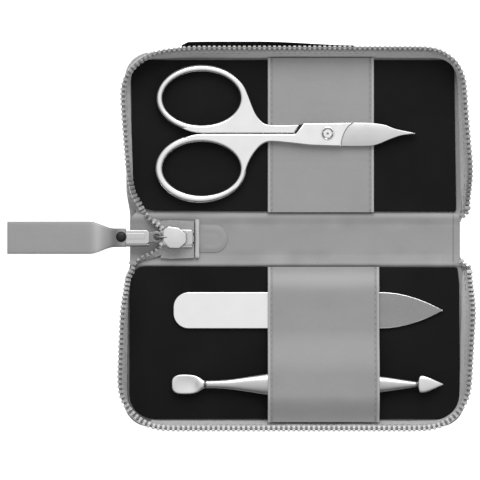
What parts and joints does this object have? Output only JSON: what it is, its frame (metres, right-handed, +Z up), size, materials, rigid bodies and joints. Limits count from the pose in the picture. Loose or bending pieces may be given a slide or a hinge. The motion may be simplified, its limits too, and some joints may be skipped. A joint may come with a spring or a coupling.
{
  "type": "manicure set case",
  "caption": "Zip-round leather case that opens flat like a book, holding nail scissors, a nail file and a cuticle tool.",
  "frame": {"origin": "centre of the spine's outer face, where the open case lies on the table", "axes": "+X along the spine away from the zip pull, +Y across the spine towards the half that holds the scissors, +Z up out of the open case"},
  "size_m": [0.1585, 0.1328, 0.0113],
  "materials": {
    "outer_leather": "fine grained grey cow leather",
    "lining_leather": "smooth matt grey leather",
    "band_leather": "smooth matt grey leather",
    "strap_leather": "smooth matt grey leather",
    "panel_cloth": "short black nap",
    "board": "plain",
    "tape_cloth": "woven grey tape",
    "zip_metal": "nickel plated",
    "slider_metal": "nickel plated",
    "black_metal": "black",
    "scissors_steel": "polished steel",
    "file_steel": "polished, with a grey grit end",
    "tool_steel": "polished steel"
  },
  "bodies": {
    "lower_half": {"lower_cover": "outer_leather", "lower_board": "board", "lower_lining": "lining_leather", "lower_panel": "panel_cloth", "lower_band": "band_leather", "lower_wall": "tape_cloth", "lower_teeth": "zip_metal", "lower_end_stop": "zip_metal"},
    "spine": {"spine_cover": "outer_leather", "spine_board": "board", "spine_lining": "lining_leather", "start_tape": "tape_cloth", "start_teeth": "zip_metal", "bottom_stop": "zip_metal", "end_bar": "tape_cloth", "end_patch": "lining_leather"},
    "upper_half": {"upper_cover": "outer_leather", "upper_board": "board", "upper_lining": "lining_leather", "upper_panel": "panel_cloth", "upper_band": "band_leather", "upper_wall": "tape_cloth", "upper_teeth": "zip_metal", "upper_end_stop": "zip_metal"},
    "slider": {"slider_body": "slider_metal", "slider_crown": "slider_metal"},
    "pull": {"pull_bar": "slider_metal", "strap_fold": "strap_leather", "strap_rivet": "black_metal"},
    "strap": {"pull_strap": "strap_leather"},
    "scissors": {"scissors_frame": "scissors_steel", "scissors_screw": "scissors_steel"},
    "scissors_arm": {"scissors_arm": "scissors_steel"},
    "nail_file": {"nail_file": "file_steel"},
    "cuticle_tool": {"tool_handle": "tool_steel", "tool_spoon": "tool_steel", "tool_arrow": "tool_steel"}
  },
  "joints": [
    {"name": "lower_fold", "type": "hinge", "parent": "lower_half", "child": "spine", "pos_m": [0, -0.009, 0.0024], "axis": [1, 0, 0], "range_deg": [0, 90]},
    {"name": "upper_fold", "type": "hinge", "parent": "spine", "child": "upper_half", "pos_m": [0, 0.009, 0.0024], "axis": [1, 0, 0], "range_deg": [0, 90]},
    {"name": "zip_slide", "type": "slide", "parent": "spine", "child": "slider", "axis": [-1, 0, 0], "range_m": [0, 0.0025]},
    {"name": "pull_swing", "type": "hinge", "parent": "slider", "child": "pull", "pos_m": [-0.045, 0.0003, 0.00655], "axis": [0, -1, 0], "range_deg": [-75, 0]},
    {"name": "strap_flex", "type": "hinge", "parent": "pull", "child": "strap", "pos_m": [-0.0621, 0.0003, 0.00805], "axis": [0, 1, 0], "range_deg": [0, 60]},
    {"name": "scissors_lift", "type": "slide", "parent": "upper_half", "child": "scissors", "axis": [0, 0, -1], "range_m": [-0.03, 0]},
    {"name": "scissors_open", "type": "hinge", "parent": "scissors", "child": "scissors_arm", "pos_m": [0.0112, 0.036, 0.0058], "axis": [0, 0, -1], "range_deg": [-40, 0]},
    {"name": "file_slide", "type": "slide", "parent": "lower_half", "child": "nail_file", "axis": [1, 0, 0], "range_m": [-0.013, 0]},
    {"name": "cuticle_tool_slide", "type": "slide", "parent": "lower_half", "child": "cuticle_tool", "axis": [1, 0, 0], "range_m": [-0.013, 0]}
  ],
  "couplings": [
    {"joint": "scissors_open", "follows": "scissors_lift", "rad_per_m": 23.2}
  ]
}
